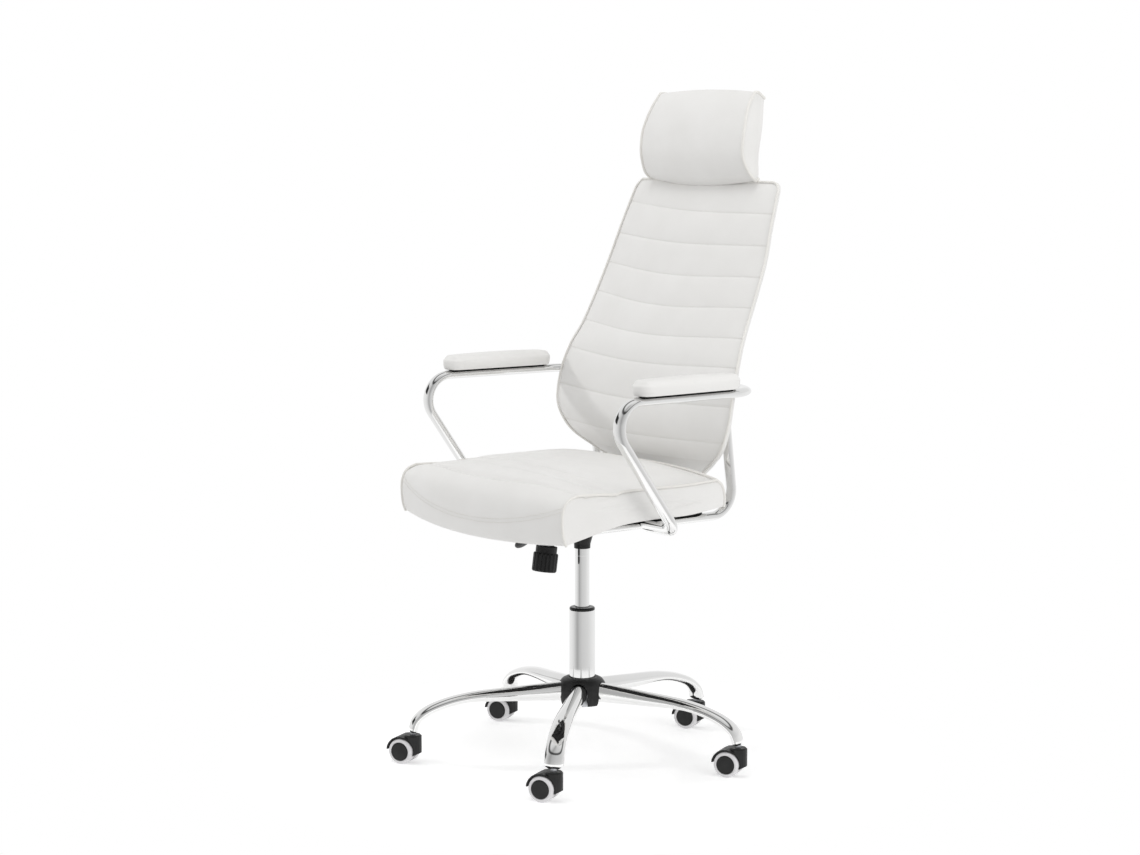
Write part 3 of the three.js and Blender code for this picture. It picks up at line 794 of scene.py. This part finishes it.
def puff(obj, pin, pressure, cap, bend=0.5):
    """Inflates the cover as cloth where it isn't pinned, by cap millimetres at most, and applies that."""
    group = obj.vertex_groups.new(name="pin")
    levels = np.round(np.clip(pin, 0, 1), 2)
    for level in np.unique(levels):
        if level > 0:
            group.add([int(i) for i in np.nonzero(levels == level)[0]], float(level), "REPLACE")
    mod = obj.modifiers.new("Cloth", "CLOTH")
    s = mod.settings
    s.quality = 6
    s.tension_stiffness = CLOTH_STIFFNESS
    s.compression_stiffness = CLOTH_STIFFNESS
    s.shear_stiffness = CLOTH_STIFFNESS / 3
    s.bending_stiffness = bend
    s.use_pressure = True
    s.uniform_pressure_force = pressure
    s.vertex_group_mass = "pin"
    s.effector_weights.gravity = 0
    mod.point_cache.frame_start = 1
    mod.point_cache.frame_end = CLOTH_FRAMES
    for number in range(1, CLOTH_FRAMES + 1):
        scene.frame_set(number)
    graph = bpy.context.evaluated_depsgraph_get()
    done = obj.evaluated_get(graph).data
    rest, moved = read(obj.data), read(done)
    shift = moved - rest
    size = np.linalg.norm(shift, axis=1)[:, None]
    shift *= np.minimum(1, cap * MM / np.maximum(size, 1e-9))
    obj.modifiers.remove(mod)
    write(obj.data, rest + shift)
    obj.vertex_groups.remove(group)
    scene.frame_set(1)


def read(mesh):
    """The mesh's points as rows of x, y, z."""
    co = np.zeros(len(mesh.vertices) * 3)
    mesh.vertices.foreach_get("co", co)
    return co.reshape(-1, 3)


def write(mesh, co):
    mesh.vertices.foreach_set("co", np.asarray(co, np.float32).ravel())
    mesh.update()


def subdivide(obj):
    mod = obj.modifiers.new("smooth", "SUBSURF")
    mod.levels = 1
    mod.render_levels = 1
    bake(obj)


def border(count, *sides):
    """Round the -1..1 square: f up the front, t back along the top, r down the rear, b forward below."""
    s = np.linspace(-1, 1, count)
    one = np.ones(count)
    runs = {"f": (-one, s), "t": (s, one), "r": (one, -s), "b": (-s, -one)}
    out = [np.stack(runs[k], 1)[(0 if n == 0 else 1):] for n, k in enumerate(sides)]
    return np.concatenate(out)


def piping(name, points, side=(1, 0, 0), radius=2.6, closed=False):
    piece = tube(name, at(points), side, (radius * MM,) * 2, PIPING, 12, closed)
    settle(piece, "seat")


STITCH_PITCH, STITCH_LENGTH, STITCH_RADIUS = 4.6, 2.7, 0.42
STITCH_RINGS = ((-0.5, 0.35, -0.4), (-0.3, 1, 0.35), (0.3, 1, 0.35),
                (0.5, 0.35, -0.4))  # place along it, share of the radius, lift off the cover in radii


def stitches(name, lines, outs):
    """Short thread bars along the lines, lying on the cover. outs are the outward directions."""
    verts, faces = [], []
    for line, out in zip(lines, outs):
        total = np.linalg.norm(np.diff(line, axis=0), axis=1).sum()
        count = max(2, int(total / (STITCH_PITCH * MM)))
        both = resample(np.hstack([line, out]), count * 8 + 1)
        for n in range(count):
            mid = both[n * 8 + 4]
            ahead = both[n * 8 + 5][:3] - both[n * 8 + 3][:3]
            ahead /= np.linalg.norm(ahead)
            up = mid[3:] / np.linalg.norm(mid[3:])
            across = np.cross(ahead, up)
            base = len(verts)
            for t, size, lift in STITCH_RINGS:
                centre = mid[:3] + ahead * t * STITCH_LENGTH * MM + up * lift * STITCH_RADIUS * MM
                for ca, cu in ((1, 0), (0, 1), (-1, 0), (0, -1)):
                    verts.append(centre + (across * ca + up * cu) * STITCH_RADIUS * size * MM)
            for r in range(3):
                for k in range(4):
                    a, b = base + r * 4, base + r * 4 + 4
                    faces.append((a + k, a + (k + 1) % 4, b + (k + 1) % 4, b + k))
            faces.append(tuple(base + k for k in range(4)))
            faces.append(tuple(base + 12 + k for k in range(4)))
    piece = add_mesh(name, verts, faces, THREAD)
    settle(piece, "seat")


def step(x, low, high):
    """0 below low, 1 above high, and a smooth rise in between."""
    t = np.clip((x - low) / (high - low), 0, 1)
    return t * t * (3 - 2 * t)


# ---- backrest ----
def cad_rows(node):
    """The CAD slab's rows from the bottom up, in millimetres from the column axis. Each is its half width,
    the depth of its front face at the side edges and in the middle, and its height."""
    co = (read(frame["nodes"][node].data) - AXIS) / MM
    rows = []
    for z in np.unique(np.round(co[:, 2], 1)):
        row = co[np.abs(co[:, 2] - z) < 0.2]
        half = row[:, 0].max()
        edge = row[row[:, 0] > half - 0.5]
        rows.append((half, edge[:, 1].min(), row[:, 1].min(), z))
    return np.array(rows)


# The cross seams from the top: how far down the slab at its side edges, how much they hang in the middle,
# and how much lower they are at the left edge and higher at the right one.
SEAM_DOWN = [55, 114, 169, 225, 282, 338, 403, 466, 529]
SEAM_SAG = [5, 5, 8, 10, 9, 7, 5, 4, 3]
SEAM_TILT = [7, 4.5, 4.5, 4, 3, 2, 1, 1, 0]
BACK_CORNER = 20.0  # the radius of the slab's top corners


class Back:
    """The backrest's surfaces: a across from -1 to 1 and c up from -1 to 1."""

    def __init__(self):
        self.line = smooth_line(cad_rows("backrest_cushion"), 200)
        self.height = np.linalg.norm(np.diff(self.line[:, [1, 3]], axis=0), axis=1).sum()
        self.marks = np.array([0.0] + SEAM_DOWN + [self.height])
        self.sags = np.array([0.0] + SEAM_SAG + [0.0])
        self.tilts = np.array([0.0] + SEAM_TILT + [0.0])

    def seam(self, n, a):
        """How far up seam n is, from -1 to 1, and how it hangs towards the middle."""
        return 1 - 2 * (self.marks[n] + self.tilts[n] * a + self.sags[n] * (1 - a * a) ** 2) / self.height

    def rows(self, a, c):
        """Moves even rows to lie along the seams, closer beside them. Gives c and the share of a channel."""
        place = (1 - c) / 2 * (len(self.marks) - 1)
        n = np.minimum(place.astype(int), len(self.marks) - 2)
        share = place - n
        eased = 0.3 * share + 0.35 * (1 - np.cos(np.pi * share))
        return self.seam(n, a) * (1 - eased) + self.seam(n + 1, a) * eased, share

    def at(self, a, c, depth, inset=0.0, crown=1.0):
        """Points at a depth behind the front face. crown is the share of the face's bulge that is kept."""
        corner = BACK_CORNER
        share = (np.asarray(c) + 1) / 2 * (len(self.line) - 1)
        index = np.arange(len(self.line))
        half, edge, front, z = (np.interp(share, index, self.line[:, k]) for k in range(4))
        half = half - inset
        x = a * half
        down = (1 - c) / 2 * self.height
        u = np.clip((np.abs(x) - (half - corner)) / corner, 0, 1)
        v = np.clip((corner - down) / corner, 0, 1)
        x = np.sign(x) * (np.abs(x) - u * corner + u * corner * np.sqrt(1 - v * v / 2))
        drop = v * corner * (1 - np.sqrt(1 - u * u / 2))
        z = z - drop * 0.95
        y = edge + drop * -0.3 - (edge - front) * (1 - a * a) * crown + depth
        return np.stack([x, y, z], -1)


back = Back()


def add_backrest():
    params, faces = grid_box(72, 3, 140)
    a, b, c = params.T
    front = b < -0.99
    c, share = back.rows(a, c)
    rise = np.sin(np.pi * share) ** 0.55
    swell = 3.2 * rise * (1 - np.abs(a) ** 14)
    depth = np.where(front, 3.4 - swell, 3.4 + 5.6 * (b + 1) / 2)
    co = back.at(a, c, depth)
    cushion = add_mesh("backrest_cover", at(co), faces, WHITE)
    edge = np.maximum(np.abs(a), np.abs(c)) > 0.995
    pin = np.where(front & ~edge, np.where(rise < 0.02, 1.0, 0.0), 1.0)
    puff(cushion, pin, 3.0, 3.2, bend=3.0)
    subdivide(cushion)
    settle(cushion, "seat", ["backrest_cushion"])

    ring = border(160, "f", "t", "r", "b")[:-1]
    piping("backrest_piping", back.at(ring[:, 0], ring[:, 1], 1.0), (0, 1, 0), 2.2, True)

    lines, outs = [], []
    across = np.linspace(-0.985, 0.985, 120)
    for n in range(1, len(back.marks) - 1):
        seam = back.seam(n, across)
        line = back.at(across, seam + 0.006, 2.6)
        above = back.at(across, seam + 0.016, 2.6)
        out = np.cross(np.gradient(line, axis=0), above - line)
        out = -out if out[60, 1] > 0 else out
        lines.append(at(line))
        outs.append(out / np.linalg.norm(out, axis=1)[:, None])
    up = np.linspace(-0.93, 0.95, 400)
    for sign in (-1, 1):
        line = back.at(np.full(400, sign * 1.0), up, 2.2, 5.0)
        lines.append(at(line))
        outs.append(np.tile([sign * 0.25, -1.0, 0.1], (400, 1)))
    stitches("backrest_stitching", lines, outs)


TONGUE = [(0, 305, 1085), (0, 321, 1116), (0, 321, 1140), (0, 318, 1180), (0, 322.5, 1225)]


def add_shell():
    params, faces = grid_box(60, 4, 90)
    a, b, c = params.T
    t = (b + 1) / 2
    low = step(-c, 0.2, 0.7)
    thick = 12.5 + 7.5 * low
    round_off = 1 - 0.4 * np.maximum(np.abs(a), np.abs(c)) ** 14 * t ** 2
    belly = 3 * t * (1 - a ** 4) * (1 - c ** 4)
    co = back.at(a, c, 4.0 + (thick - 4.0) * t * round_off + belly, 0.3 + 2.6 * t ** 2, 0.0)
    co[:, 2] -= np.where(c > 0.99, 0.5 + 2.5 * t, 0)
    shell = add_mesh("backrest_rear", at(co), faces, SIDE)
    subdivide(shell)
    settle(shell, "seat", ["backrest_shell"])
    line = smooth_line(TONGUE, 40)
    tongue = tube("headrest_tongue", at(line), (1, 0, 0), (60 * MM, 3.4 * MM), SIDE, 40)
    settle(tongue, "seat")


add_backrest()
add_shell()


# ---- pieces with a side outline: seat and headrest ----
class Outline:
    """A side outline of four runs, front (up), top (back), rear (down) and bottom (forward), and the section
    inside it, which shrinks toward a level spine."""

    def __init__(self, front, top, rear, bottom, spine, height):
        self.runs = [smooth_line(run, 80) for run in (front, top, rear, bottom)]
        self.spine, self.height = spine, height

    def at(self, b, c):
        t = np.maximum(np.maximum(np.abs(b), np.abs(c)), 1e-9)
        bu, cu = b / t, c / t
        which = np.where(np.abs(b) >= np.abs(c), np.where(b < 0, 0, 2), np.where(c > 0, 1, 3))
        share = np.choose(which, [(cu + 1) / 2, (bu + 1) / 2, (1 - cu) / 2, (1 - bu) / 2])
        y, z = np.zeros(len(b)), np.zeros(len(b))
        for n, run in enumerate(self.runs):
            here = which == n
            y[here] = np.interp(share[here], np.linspace(0, 1, 80), run[:, 0])
            z[here] = np.interp(share[here], np.linspace(0, 1, 80), run[:, 1])
        core_y = np.clip(y, *self.spine)
        return core_y + (y - core_y) * t, self.height + (z - self.height) * t


SEAT_LINE = Outline(
    [(-236, 478), (-242, 494), (-245, 519), (-243, 543), (-232, 560), (-212, 568)],
    [(-212, 568), (-160, 566), (-122, 563), (-104, 567), (-40, 567), (40, 566), (128, 567)],
    [(128, 567), (141, 556), (148, 535), (147, 514)],
    [(147, 514), (60, 507.5), (-40, 507.5), (-115, 502.5), (-192, 487), (-236, 478)],
    (-170, 80), 535)
SEAT_HALF = (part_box("seat_cushion")[1].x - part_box("seat_cushion")[0].x) / 2 / MM
PLEATS = [(-190, 8, 420), (-140, 8, 330), (-92, 7.5, 220), (-44, 7, 120),
          (6, 6, 40)]  # depth from the axis at the side edges, how deep, and how far left it runs


def pleat_depth(x, y):
    """How deep the seat's soft cross pleats are, from 0 to 8 millimetres. Each is steeper at its front."""
    total = np.zeros(len(x))
    for rear, deep, reach in PLEATS:
        off = y - rear + 52 * (1 - (x / SEAT_HALF) ** 2)
        shape = np.exp(-(off / np.where(off < 0, 3, 7)) ** 2)
        total = np.maximum(total, deep * shape * step(reach - x, 0, 140))
    return total * (1 - 0.75 * np.clip(np.abs(x) / SEAT_HALF, 0, 1) ** 8)


def lip_height(a):
    """The height of the stitched seam across the seat's front, higher toward its ends."""
    return 503 + 43 * np.abs(a) ** 2.2


def seat_at(a, b, c, shrink=0.0):
    """Points of the seat, with its top lowered by shrink for the cloth to fill again."""
    y, z = SEAT_LINE.at(b, c)
    half = SEAT_HALF * (1 - 0.05 * step(y, 20, 150)) - 1.5
    bow = 1 - a * a
    crown = step(z, 528, 566) * (1 - np.exp(-np.maximum(y + 243, 0) / 45))
    crown *= 1 - 0.7 * step(y, 20, 150) ** 2
    ahead = np.clip((150 - y) / 390, 0, 1)
    up = 33 * (1 - np.abs(a) ** 3) * crown
    down = 12 * bow * step(-y, 150, 240) * (1 - step(z, 481, 520))
    y = y - 32 * bow * ahead + 5 * bow * (1 - ahead) ** 3
    z = z + up - down
    return np.stack([a * half, y, z - shrink * step(z, 552, 566)], -1)


def add_seat():
    params, faces = grid_box(70, 64, 14)
    a, b, c = params.T
    co = seat_at(a, b, c, 2.5)
    board_low, board_high = ((np.array(v) - AXIS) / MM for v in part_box("seat_board"))
    under = c < -0.99
    margin = 7.0
    over_board = ((co[:, :2] > board_low[:2] - margin) & (co[:, :2] < board_high[:2] + margin)).all(1)
    co[under & over_board, 2] = board_high[2] + 1.0
    seat = add_mesh("seat_cover", at(co), faces, WHITE)
    side = np.abs(a) > 0.995
    t = np.maximum(np.abs(b), np.abs(c))
    seam = side & (t > 0.995)
    rear_seam = (b > 0.99) & (c > 0.99)
    lip = (b < -0.99) & (np.abs(co[:, 2] - lip_height(a)) < 3.5)
    pin = np.where(under | seam | rear_seam | lip, 1.0, 0.0)
    puff(seat, pin, 4.0, 7.0, bend=2.0)
    subdivide(seat)
    co = read(seat.data)
    flat = (co - AXIS) / MM
    co[:, 2] -= pleat_depth(flat[:, 0], flat[:, 1]) * step(flat[:, 2], 556, 568) * MM
    write(seat.data, co)
    settle(seat, "seat", ["seat_cushion"])

    for word, sign in (("left", 1), ("right", -1)):
        ring = border(70, "f", "t", "r")
        path = seat_at(np.full(len(ring), float(sign)), ring[:, 0], ring[:, 1])
        piping(f"seat_piping_{word}", path)
    piping("seat_piping_rear", seat_at(np.linspace(-1, 1, 90), np.ones(90), np.ones(90)), (0, 0, 1))

    lines, outs = [], []
    sweep = np.linspace(-0.985, 0.985, 150)
    for shift in (-3.5, 3.5):
        rows = []
        for value in sweep:
            column = seat_at(np.full(120, value), np.full(120, -1.0), np.linspace(-1, 1, 120))
            rows.append(column[np.argmin(np.abs(column[:, 2] - lip_height(value) - shift))])
        line = np.array(rows)
        out = np.stack([sweep * 0.15, -np.ones(150), np.full(150, -0.15)], 1)
        lines.append(at(line) + out * 0.6 * MM)
        outs.append(out)
    stitches("seat_stitching", lines, outs)


add_seat()


# ---- headrest ----
HEAD_LINE = Outline(
    [(294, 1126.5), (277, 1142), (265, 1170), (264, 1195), (270, 1229), (286, 1268), (307, 1296)],
    [(307, 1296), (321, 1295), (336, 1284)],
    [(336, 1284), (330, 1258), (322, 1222), (315, 1186), (311, 1150), (308, 1130)],
    [(308, 1130), (302, 1126), (294, 1126.5)],
    (285, 306), 1200)


def head_at(a, b, c, shrink):
    """Points of the headrest, with its front set back by shrink for the cloth to fill again."""
    y, z = HEAD_LINE.at(b, c)
    up = (z - 1126) / 170
    behind = y - (303 + 20 * np.clip(up, 0, 1))
    half = 164 - 6 * step(up, 0, 0.3) - 11 * step(up, 0.5, 1.0) - 1 - 5 * step(behind, -14, 2)
    bow = 1 - a * a
    ahead = np.clip((306 - y) / 35, 0, 1)
    y = y - 12 * bow * ahead + shrink * ahead
    z = z + 7 * bow * step(up, 0.6, 1.0) - 15 * bow * (1 - step(up, 0, 0.4)) * step(ahead, 0.05, 0.4)
    return np.stack([a * half, y, z], -1)


def add_headrest():
    params, faces = grid_box(52, 8, 32)
    a, b, c = params.T
    co = head_at(a, b, c, 3.0)
    head = add_mesh("headrest_cover", at(co), faces, WHITE)
    t = np.maximum(np.abs(b), np.abs(c))
    seam = (np.abs(a) > 0.995) & (t > 0.995)
    rear = b > 0.99
    pin = np.where(seam | rear, 1.0, 0.0)
    puff(head, pin, 4.0, 6.0, bend=3.0)
    subdivide(head)
    settle(head, "seat", ["headrest_cushion"])
    for word, sign in (("left", 1), ("right", -1)):
        ring = border(60, "b", "f", "t")
        path = head_at(np.full(len(ring), float(sign)), ring[:, 0], ring[:, 1], 3.0)
        piping(f"headrest_piping_{word}", path, radius=3.0)


add_headrest()


# ---- arm pads ----
PAD_HALF = (25.5, 124, 13)  # half the width, length and height before it is puffed up


def add_pads():
    width, length, tall = PAD_HALF
    params, faces = grid_box(16, 64, 8)
    a, b, c = params.T
    end = np.clip((np.abs(b) * length - (length - width)) / width, 0, 1)
    x = a * width * np.sqrt(1 - end * end / 2)
    round_end = length - width + width * end * np.sqrt(1 - a * a / 2)
    y = np.sign(b) * np.where(end > 0, round_end, np.abs(b) * length)
    edge = np.clip((np.maximum(np.abs(a), end) - 0.55) / 0.45, 0, 1)
    lift = tall * c * (1 - np.where(c > 0, 0.5, -0.24) * edge ** 2.2)
    pull = 1 - np.where(c > 0, 0.12, 0.04) * np.abs(c) ** 3 * np.maximum(np.abs(a), end)
    co = np.stack([x * pull, y * (1 - 0.03 * np.abs(c) ** 3), lift - 0.5], 1) * MM
    splay = math.atan((ARM_FRONT[0] - ARM_REAR[0]) / (ARM_REAR[1] - ARM_FRONT[1]))
    for word, sign in (("left", 1), ("right", -1)):
        turn = np.array(Matrix.Rotation(sign * splay, 3, "Z"))
        place = np.array(middle(f"arm_pad_{word}"))
        pad = add_mesh(f"arm_pad_cover_{word}", co @ turn.T + place, faces, WHITE)
        puff(pad, np.where(c < -0.99, 1.0, 0.0), 4.0, 3.5)
        subdivide(pad)
        settle(pad, "seat", [f"arm_pad_{word}"])


add_pads()
dress_cad()
